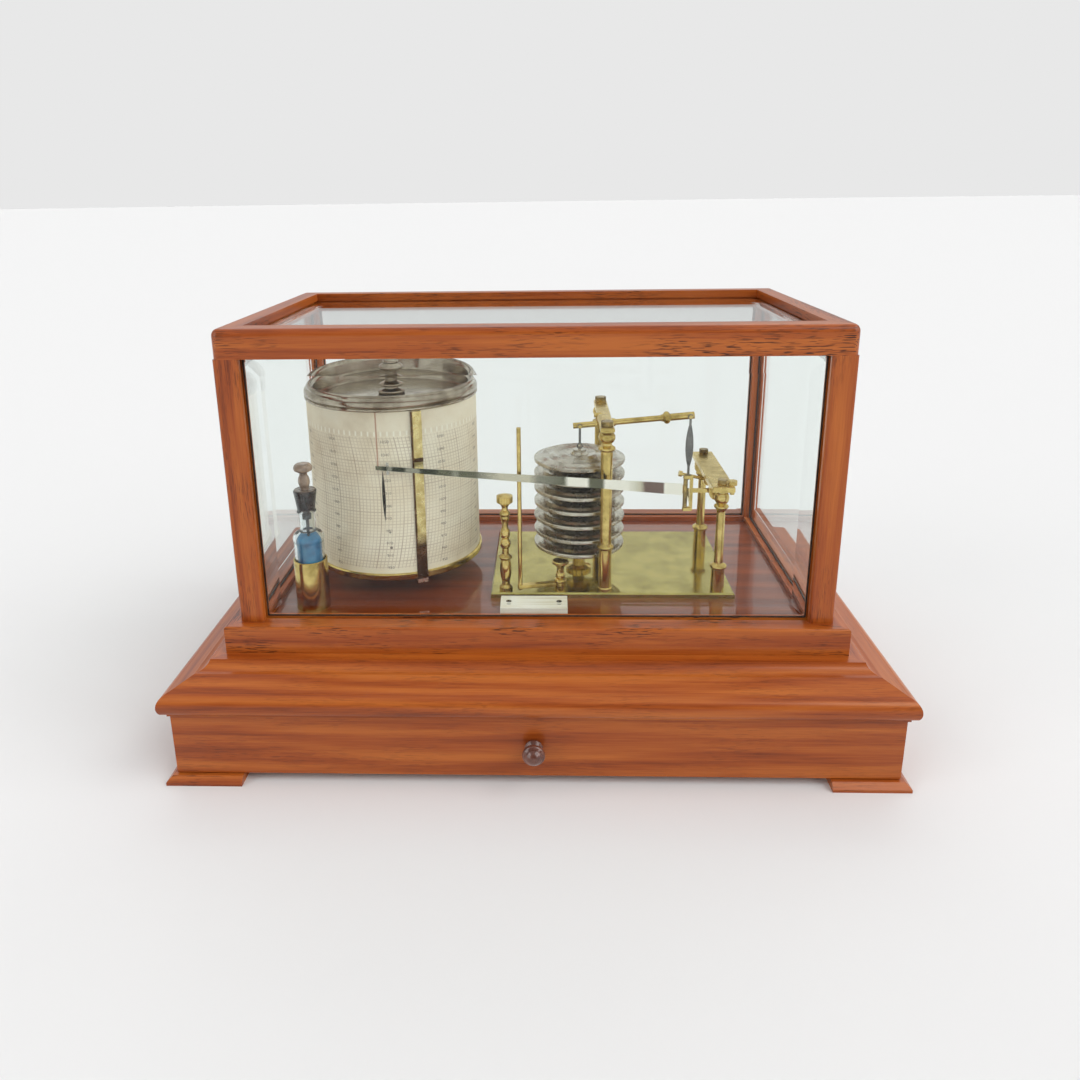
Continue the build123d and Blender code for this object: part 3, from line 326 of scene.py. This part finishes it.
def dressArm():
    material, tree, shader = newFinish("arm nickel silver")
    place, x, y, z = objectPlace(tree)
    along = spread(tree, x, *armEnds)
    # The bands are painted reflections of the room, partly stain; the root is blended to a painted white
    # highlight
    markedTone = ramp(tree, along, armStainAndReflections)
    paintedRootHighlight = spread(tree, along, *armRoot)
    tree.links.new(blendColour(tree, paintedRootHighlight, markedTone, (*white, 1.0)), shader.inputs["Base Color"])
    smears = mottle(tree, stretch(tree, place, (60.0, 400.0, 400.0)), detail=3.0)
    tree.links.new(spread(tree, smears, 0.3, 0.7, 0.12, 0.3), shader.inputs["Roughness"])
    bump(tree, shader, smears, 0.05, 0.0001)
    shader.inputs["Metallic"].default_value = 1.0
    dress(material, "pen_arm")


dressArm()


# Clip on the drum: brown along its left edge and lower end and in one band, with a pale foot
clip = {
    "turn": 24.3,
    "edge": -0.0019,
    "lowEnd": 0.101,
    "lowFade": 0.004,
    "band": 0.1447,
    "bandHalf": 0.0009,
    "foot": 0.0786,
    "soft": 0.0002,
    "pale": (0.80, 0.62, 0.52, 1.0),
    "brass": ((0.78, 0.64, 0.30, 1.0), (0.52, 0.38, 0.13, 1.0)),
    "brown": ((0.16, 0.075, 0.03, 1.0), (0.06, 0.03, 0.015, 1.0)),
}


def dressClip():
    material, tree, shader = newFinish("clip brass")
    place, x, y, z = objectPlace(tree)
    across = calc(tree, "MULTIPLY", calc(tree, "SUBTRACT", x, drumCentre[0]), cos(radians(clip["turn"])))
    deep = calc(tree, "MULTIPLY", calc(tree, "SUBTRACT", y, drumCentre[1]), sin(radians(clip["turn"])))
    sideways = calc(tree, "ADD", across, deep)

    def below(value, key, fade):
        return spread(tree, value, clip[key] - clip[fade], clip[key] + clip[fade], 1.0, 0.0)

    ends = calc(tree, "MAXIMUM", below(sideways, "edge", "soft"), below(z, "lowEnd", "lowFade"))
    brown = calc(tree, "MAXIMUM", ends, band(tree, z, clip["band"], clip["bandHalf"], 0.0003))
    spots = mottle(tree, place, 260.0, detail=4.0)
    brass = blendColour(tree, spread(tree, spots, 0.4, 0.7), *clip["brass"])
    markedTone = blendColour(tree, spread(tree, spots, 0.3, 0.7), *clip["brown"])
    strap = blendColour(tree, brown, brass, markedTone)
    foot = below(z, "foot", "soft")
    tree.links.new(blendColour(tree, foot, strap, clip["pale"]), shader.inputs["Base Color"])
    tree.links.new(spread(tree, spots, 0.3, 0.7, 0.2, 0.4), shader.inputs["Roughness"])
    shader.inputs["Metallic"].default_value = 1.0
    dress(material, "chart_clip")


dressClip()


# Chart paper: curved time lines, thin pressure lines, hour marks and an ink trace
chart = {
    "radius": 0.0465,
    "low": 0.0858,
    "high": 0.1575,
    "timeStep": 0.00195,
    "pressureStep": 0.001725,
    "penReach": 0.155,
    "middle": 0.124,
    "hourZ": 0.1594,
    "hourStep": 0.0033,
    "hourHalf": 0.0011,
    "soft": 0.0002,
    "print": (0.28, 0.16, 0.10, 1.0),
    "hourDark": (0.55, 0.42, 0.29, 1.0),
    "hourPale": (0.92, 0.88, 0.76, 1.0),
    "paper": [(0.30, (0.66, 0.55, 0.40)), (0.46, (0.80, 0.71, 0.55)), (0.64, (0.86, 0.79, 0.64))],
    "speck": (0.60, 0.48, 0.33, 1.0),
}

# Ink on the chart: a red-brown line down from the top, a dark pooled stroke and two blots.
# Places are lengths along the paper from the front of the drum, then heights.
trace = {
    "line": -0.0006,
    "lineHalf": 0.00022,
    "lineFoot": (0.139, 0.142),
    "red": (0.40, 0.14, 0.07, 1.0),
    "stroke": (0.0016, 0.1262),
    "strokeHalf": 0.0148,
    "strokeWide": 0.00095,
    "black": (0.012, 0.006, 0.006, 1.0),
    "blots": ((0.0040, 0.0975, 0.0009), (0.0038, 0.1060, 0.0005)),
    "blot": (0.05, 0.03, 0.03, 1.0),
}


def repeated(tree, value, step, half):
    part = calc(tree, "FRACT", calc(tree, "DIVIDE", value, step))
    turn = calc(tree, "ABSOLUTE", calc(tree, "SUBTRACT", part, 0.5))
    near = calc(tree, "MULTIPLY", calc(tree, "SUBTRACT", 0.5, turn), step)
    return spread(tree, near, half, half + chart["soft"], 1.0, 0.0)


def chartGrid(tree, place, swept, z):
    timeStep, pressureStep = chart["timeStep"], chart["pressureStep"]
    hourLines = calc(tree, "MULTIPLY", repeated(tree, swept, timeStep, 0.00010), 0.42)
    dayLines = calc(tree, "MULTIPLY", repeated(tree, swept, 6 * timeStep, 0.00016), 0.62)
    finePressure = calc(tree, "MULTIPLY", repeated(tree, z, pressureStep, 0.0001), 0.30)
    tens = calc(tree, "MULTIPLY", repeated(tree, z, 4 * pressureStep, 0.00016), 0.45)
    upright = calc(tree, "MAXIMUM", hourLines, dayLines)
    grid = calc(tree, "MAXIMUM", upright, calc(tree, "MAXIMUM", finePressure, tens))
    low, high = chart["low"], chart["high"]
    printed = band(tree, z, (low + high) / 2, (high - low) / 2, chart["soft"])
    faded = spread(tree, mottle(tree, place, 55.0, detail=2.0), 0.3, 0.6, 0.45, 1.0)
    return calc(tree, "MULTIPLY", calc(tree, "MULTIPLY", grid, printed), faded)


def chartTrace(tree, colour, length, z):
    lineSide = band(tree, length, trace["line"], trace["lineHalf"], 0.0003)
    redLine = calc(tree, "MULTIPLY", lineSide, spread(tree, z, *trace["lineFoot"]))
    colour = blendColour(tree, calc(tree, "MULTIPLY", redLine, 0.7), colour, trace["red"])
    strokeX, strokeZ = trace["stroke"]
    fromMiddle = calc(tree, "DIVIDE", calc(tree, "SUBTRACT", z, strokeZ), trace["strokeHalf"])
    taper = calc(tree, "SUBTRACT", 1.0, calc(tree, "POWER", calc(tree, "ABSOLUTE", fromMiddle), 2.0))
    wide = calc(tree, "MULTIPLY", taper, trace["strokeWide"])
    offLine = calc(tree, "ABSOLUTE", calc(tree, "SUBTRACT", length, strokeX))
    stroke = spread(tree, calc(tree, "SUBTRACT", wide, offLine), 0.0, 0.0002)
    colour = blendColour(tree, stroke, colour, trace["black"])
    for blotX, blotZ, size in trace["blots"]:
        sideways = calc(tree, "POWER", calc(tree, "ABSOLUTE", calc(tree, "SUBTRACT", length, blotX)), 2.0)
        upright = calc(tree, "POWER", calc(tree, "ABSOLUTE", calc(tree, "SUBTRACT", z, blotZ)), 2.0)
        reach = calc(tree, "SQRT", calc(tree, "ADD", sideways, upright))
        colour = blendColour(tree, spread(tree, reach, size * 0.7, size, 0.8, 0.0), colour, trace["blot"])
    return colour


def dressChart():
    material, tree, shader = newFinish("chart paper")
    place, x, y, z = objectPlace(tree)
    across = calc(tree, "SUBTRACT", x, drumCentre[0])
    forward = calc(tree, "SUBTRACT", drumCentre[1], y)
    length = calc(tree, "MULTIPLY", calc(tree, "ARCTAN2", across, forward), chart["radius"])
    up = calc(tree, "SUBTRACT", z, chart["middle"])
    bend = calc(tree, "DIVIDE", calc(tree, "MULTIPLY", up, up), 2.0 * chart["penReach"])
    swept = calc(tree, "ADD", length, bend)

    foxing = mottle(tree, place, 26.0, detail=4.0, rough=0.6)
    grainy = mottle(tree, place, 900.0, detail=3.0)
    specks = spread(tree, grainy, 0.2, 0.8, 0.0, 0.12)
    paper = blendColour(tree, specks, ramp(tree, foxing, chart["paper"]), chart["speck"])
    colour = blendColour(tree, chartGrid(tree, place, swept, z), paper, chart["print"])

    hourBand = band(tree, z, chart["hourZ"], chart["hourHalf"], 0.0003)
    gaps = repeated(tree, length, chart["hourStep"], chart["hourHalf"])
    hours = calc(tree, "MULTIPLY", calc(tree, "SUBTRACT", 1.0, gaps), hourBand)
    colour = blendColour(tree, calc(tree, "MULTIPLY", hourBand, 0.16), colour, chart["hourDark"])
    colour = blendColour(tree, calc(tree, "MULTIPLY", hours, 0.7), colour, chart["hourPale"])
    colour = chartTrace(tree, colour, length, z)
    tree.links.new(colour, shader.inputs["Base Color"])
    shader.inputs["Roughness"].default_value = 0.75
    bump(tree, shader, grainy, 0.08, 0.0001)
    dress(material, "chart")


dressChart()
print("chart ruled")


# Number columns of the chart, plain tens down each scale
numbers = {
    "height": 0.0023,
    "top": 0.1552,
    "rows": 11,
    "step": 0.0069,
    "first": 1050,
    "proud": 0.00004,
    "angles": (-33.0, 4.0, 41.0, 78.0, 115.0, 152.0, 189.0, 226.0, 270.0, 299.0),
}


def makeNumbers():
    shape = bmesh.new()
    paperFace = chart["radius"] + numbers["proud"]
    for row in range(numbers["rows"]):
        words = bpy.data.curves.new("row words", "FONT")
        words.body = str(numbers["first"] - 10 * row)
        words.size = numbers["height"]
        words.align_x = "CENTER"
        words.align_y = "CENTER"
        words.resolution_u = 2
        holder = bpy.data.objects.new("row words", words)
        bpy.context.collection.objects.link(holder)
        bpy.context.view_layer.update()
        flat = bpy.data.meshes.new_from_object(holder)
        bpy.data.objects.remove(holder)
        bpy.data.curves.remove(words)
        for angle in numbers["angles"]:
            before = len(shape.verts)
            shape.from_mesh(flat)
            shape.verts.ensure_lookup_table()
            for vert in shape.verts[before:]:
                turn = radians(angle) + vert.co.x / paperFace
                height = numbers["top"] - row * numbers["step"] + vert.co.y
                across, forward = paperFace * sin(turn), paperFace * cos(turn)
                vert.co = Vector((drumCentre[0] + across, drumCentre[1] - forward, height))
        bpy.data.meshes.remove(flat)
    bmesh.ops.remove_doubles(shape, verts=shape.verts, dist=0.000001)
    mesh = bpy.data.meshes.new("chart_numbers")
    shape.to_mesh(mesh)
    shape.free()
    piece = bpy.data.objects.new("chart_numbers", mesh)
    bpy.context.collection.objects.link(piece)
    material, tree, shader = newFinish("printing ink")
    place = objectPlace(tree)[0]
    worn = mottle(tree, place, 700.0, detail=3.0)
    ink = blendColour(tree, spread(tree, worn, 0.45, 0.65), (0.13, 0.10, 0.085, 1.0), (0.45, 0.36, 0.27, 1.0))
    tree.links.new(ink, shader.inputs["Base Color"])
    shader.inputs["Roughness"].default_value = 0.8
    mesh.materials.append(material)
    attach(piece, "drum")


makeNumbers()
print("chart numbered")


# Clear glass: lamps pass through it
def glassFinish(name, tint, mirror=1.0, ior=1.5, rough=0.0):
    material, tree, shader = newFinish(name)
    shader.inputs["Base Color"].default_value = (*tint, 1.0)
    shader.inputs["Transmission Weight"].default_value = 1.0
    shader.inputs["Roughness"].default_value = rough
    shader.inputs["IOR"].default_value = ior
    shader.inputs["Specular Tint"].default_value = (mirror, mirror, mirror, 1.0)
    isShadow = put(tree, "ShaderNodeLightPath").outputs["Is Shadow Ray"]
    clear = put(tree, "ShaderNodeBsdfTransparent", {0: (*tint, 1.0)}).outputs[0]
    mixed = put(tree, "ShaderNodeMixShader", {0: isShadow, 1: shader.outputs[0], 2: clear}).outputs[0]
    tree.links.new(mixed, tree.nodes["Material Output"].inputs["Surface"])
    return material


def dressGlass():
    pane = glassFinish("pane glass", (0.935, 0.962, 0.950), mirror=0.3)
    dress(pane, "glass_front", "glass_back", "glass_left", "glass_right", "glass_top")
    dress(glassFinish("bottle glass", (0.93, 0.97, 0.98)), "ink_bottle")


dressGlass()


# Ink in the bottle, filled up into its shoulder
ink = {
    "axis": (-0.1165, -0.052 + planShift),
    "low": 0.07265,
    "level": 0.1042,
    "radius": 0.00640,
    "segments": 40,
}


def spunShape(profile, centre, segments):
    shape = bmesh.new()
    verts = [shape.verts.new((radius, 0.0, height)) for radius, height in profile]
    edges = [shape.edges.new(pair) for pair in zip(verts, verts[1:])]
    bmesh.ops.spin(shape, geom=verts + edges, cent=(0, 0, 0), axis=(0, 0, 1), angle=2 * pi, steps=segments,
                   use_merge=True)
    bmesh.ops.remove_doubles(shape, verts=shape.verts, dist=0.000001)
    bmesh.ops.recalc_face_normals(shape, faces=shape.faces)
    bmesh.ops.translate(shape, verts=shape.verts, vec=(centre[0], centre[1], 0.0))
    return shape


def finished(shape, name, smooth=True):
    mesh = bpy.data.meshes.new(name)
    shape.to_mesh(mesh)
    shape.free()
    for face in mesh.polygons:
        face.use_smooth = smooth
    piece = bpy.data.objects.new(name, mesh)
    bpy.context.collection.objects.link(piece)
    return piece


def makeInk():
    radius, low, level = ink["radius"], ink["low"], ink["level"]
    profile = [(0.0, low), (radius - 0.0012, low), (radius - 0.0003, low + 0.0004), (radius, low + 0.0014),
               (radius, level), (radius - 0.0002, level + 0.0010), (radius - 0.0007, level + 0.0020),
               (radius - 0.0010, level + 0.0021), (0.0014, level + 0.0018), (0.0009, level + 0.0020),
               (0.0009, low + 0.0024), (0.0, low + 0.0024)]
    piece = finished(spunShape(profile, ink["axis"], ink["segments"]), "ink_fill")
    material, tree, shader = newFinish("blue ink")
    place = objectPlace(tree)[0]
    cloud = mottle(tree, place, 160.0, detail=3.0)
    blue = ramp(tree, cloud, [(0.35, (0.004, 0.085, 0.20)), (0.65, (0.012, 0.20, 0.38))])
    tree.links.new(blue, shader.inputs["Base Color"])
    shader.inputs["Roughness"].default_value = 0.12
    piece.data.materials.append(material)
    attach(piece, "ink_bottle")


makeInk()
print("glass and ink finished")


# Stopper: black body, brown turned knob
stopperTones = {
    "split": (0.1322, 0.1328),
    "black": ((0.012, 0.010, 0.011, 1.0), (0.05, 0.035, 0.03, 1.0)),
    "brown": ((0.36, 0.26, 0.19, 1.0), (0.20, 0.13, 0.09, 1.0)),
}


def dressStopper():
    material, tree, shader = newFinish("stopper")
    place, x, y, z = objectPlace(tree)
    spots = mottle(tree, place, 320.0, detail=4.0)
    black = blendColour(tree, spread(tree, spots, 0.45, 0.7), *stopperTones["black"])
    brown = blendColour(tree, spread(tree, spots, 0.35, 0.65), *stopperTones["brown"])
    above = spread(tree, z, *stopperTones["split"])
    tree.links.new(blendColour(tree, above, black, brown), shader.inputs["Base Color"])
    tree.links.new(spread(tree, spots, 0.3, 0.7, 0.12, 0.35), shader.inputs["Roughness"])
    shader.inputs["Coat Weight"].default_value = 0.4
    dress(material, "stopper")


# Label plate: bare ivory, a little yellowed in streaks
def dressLabel():
    material, tree, shader = newFinish("ivory")
    place = objectPlace(tree)[0]
    streaks = mottle(tree, stretch(tree, place, (40.0, 420.0, 420.0)), detail=4.0)
    ivory = ramp(tree, streaks, [(0.3, (0.70, 0.64, 0.50)), (0.6, (0.84, 0.81, 0.72))])
    tree.links.new(ivory, shader.inputs["Base Color"])
    shader.inputs["Roughness"].default_value = 0.3
    shader.inputs["Coat Weight"].default_value = 0.3
    dress(material, "label_plate")


dressStopper()
dressLabel()
print("stopper and label finished")


# Dark strips where the panes meet the rails and posts: painted shade standing in for the shadowed gap between
# glass and wood
paneGapShade = {
    "inX": 0.1346,
    "inY": 0.0681,
    "faceX": 0.1389,
    "faceY": 0.0724,
    "low": 0.0717,
    "high": 0.2039,
    "wide": 0.0009,
    "tall": 0.0008,
    "round": 0.00022,
}


def strip(shape, low, high):
    made = bmesh.ops.create_cube(shape, size=1.0)["verts"]
    size = [end - start for start, end in zip(low, high)]
    middle = [(end + start) / 2 for start, end in zip(low, high)]
    bmesh.ops.scale(shape, verts=made, vec=size)
    bmesh.ops.translate(shape, verts=made, vec=middle)
    edges = list({edge for vert in made for edge in vert.link_edges})
    bmesh.ops.bevel(shape, geom=edges, offset=paneGapShade["round"], affect="EDGES", segments=2, profile=0.5,
                    material=-1)


def makeGapShadeStrips():
    shape = bmesh.new()
    wide, tall, low, high = paneGapShade["wide"], paneGapShade["tall"], paneGapShade["low"], paneGapShade["high"]
    for side in (-1, 1):
        front, back = sorted((side * paneGapShade["faceY"], side * (paneGapShade["faceY"] - wide)))
        near, far = front + planShift, back + planShift
        strip(shape, (-paneGapShade["inX"], near, low), (paneGapShade["inX"], far, low + tall))
        for end in (-1, 1):
            first, last = sorted((end * paneGapShade["inX"], end * (paneGapShade["inX"] - tall)))
            strip(shape, (first, near, low), (last, far, high))
        outer, inner = sorted((side * paneGapShade["faceX"], side * (paneGapShade["faceX"] - wide)))
        strip(shape, (outer, planShift - paneGapShade["inY"], low), (inner, planShift + paneGapShade["inY"], low + tall))
        for end in (-1, 1):
            first, last = sorted((end * paneGapShade["inY"], end * (paneGapShade["inY"] - tall)))
            strip(shape, (outer, first + planShift, low), (inner, last + planShift, high))
    # The strips' near-black colour is painted shade for the gap under and beside each pane
    piece = finished(shape, "pane_gap_shade", smooth=False)
    material, tree, shader = newFinish("paneGapShade")
    place = objectPlace(tree)[0]
    shadeSpeckle = mottle(tree, place, 500.0, detail=3.0)
    dark = ramp(tree, shadeSpeckle, [(0.35, (0.010, 0.006, 0.005)), (0.7, (0.05, 0.022, 0.014))])
    tree.links.new(dark, shader.inputs["Base Color"])
    shader.inputs["Roughness"].default_value = 0.6
    bump(tree, shader, shadeSpeckle, 0.4, 0.0002)
    piece.data.materials.append(material)
    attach(piece, "cover")


makeGapShadeStrips()
print("putty laid")


# Studio: pale floor, a plain room and three soft windows with crossed bars
studio = {
    "paper": (0.807, 0.807, 0.807),
    "floor": (0.80, 0.80, 0.80),
    "floorReach": 60.0,
    "level": 1.0,
    "wall": 0.50,
    "ceiling": 0.70,
    "dark": 0.12,
    "bar": 0.035,
    "edge": 0.06,
    "windows": [
        {"toward": (0.72, -0.36, 0.60), "half": (0.50, 0.42), "light": 3.0},
        {"toward": (-0.78, -0.52, 0.34), "half": (0.30, 0.42), "light": 2.6},
        {"toward": (0.10, 0.75, 0.66), "half": (0.60, 0.26), "light": 1.2},
    ],
}


def windowMask(tree, way, pane):
    toward = Vector(pane["toward"]).normalized()
    side = toward.cross(Vector((0.0, 0.0, 1.0))).normalized()
    upward = side.cross(toward).normalized()

    def dot(axis):
        wires = {0: way, 1: tuple(axis)}
        return put(tree, "ShaderNodeVectorMath", wires, operation="DOT_PRODUCT").outputs["Value"]

    ahead = calc(tree, "MAXIMUM", dot(toward), 0.001)
    across = calc(tree, "ABSOLUTE", calc(tree, "DIVIDE", dot(side), ahead))
    high = calc(tree, "ABSOLUTE", calc(tree, "DIVIDE", dot(upward), ahead))
    halfAcross, halfHigh = pane["half"]
    bar, edge = studio["bar"], studio["edge"]
    inside = calc(tree, "MULTIPLY", spread(tree, across, halfAcross, halfAcross + edge, 1.0, 0.0),
                  spread(tree, high, halfHigh, halfHigh + edge, 1.0, 0.0))
    bars = calc(tree, "MULTIPLY", spread(tree, across, 0.5 * bar, bar), spread(tree, high, 0.5 * bar, bar))
    return calc(tree, "MULTIPLY", calc(tree, "MULTIPLY", inside, bars), pane["light"])


def makeStudio():
    world = bpy.data.worlds.new("studio")
    bpy.context.scene.world = world
    world.use_nodes = True
    tree = world.node_tree
    tree.nodes.clear()
    way = put(tree, "ShaderNodeTexCoord").outputs["Generated"]
    axes = put(tree, "ShaderNodeSeparateXYZ", {0: way}).outputs
    behindCamera = spread(tree, axes[1], -0.15, -0.75)
    wall = studio["wall"]
    walls = calc(tree, "ADD", calc(tree, "MULTIPLY", behindCamera, studio["dark"] - wall), wall)
    overhead = spread(tree, axes[2], 0.35, 0.8)
    light = calc(tree, "ADD", walls, calc(tree, "MULTIPLY", overhead, studio["ceiling"] - wall))
    for pane in studio["windows"]:
        light = calc(tree, "ADD", light, windowMask(tree, way, pane))
    light = calc(tree, "MULTIPLY", light, studio["level"])
    room = put(tree, "ShaderNodeBackground", {0: (1.0, 1.0, 1.0, 1.0), 1: light}).outputs[0]
    plain = put(tree, "ShaderNodeBackground", {0: (*studio["paper"], 1.0), 1: 1.0}).outputs[0]
    path = put(tree, "ShaderNodeLightPath").outputs
    seen = calc(tree, "MAXIMUM", path["Is Camera Ray"], path["Is Transmission Ray"])
    both = put(tree, "ShaderNodeMixShader", {0: seen, 1: room, 2: plain}).outputs[0]
    put(tree, "ShaderNodeOutputWorld", {"Surface": both})

    shape = bmesh.new()
    bmesh.ops.create_circle(shape, cap_ends=True, segments=64, radius=studio["floorReach"])
    floor = finished(shape, "floor", smooth=False)
    material, tree, shader = newFinish("floor paper")
    shader.inputs["Base Color"].default_value = (*studio["floor"], 1.0)
    shader.inputs["Roughness"].default_value = 1.0
    shader.inputs["Specular IOR Level"].default_value = 0.0
    floor.data.materials.append(material)
    bpy.context.scene.view_settings.view_transform = "Standard"


makeStudio()
print("studio lit")
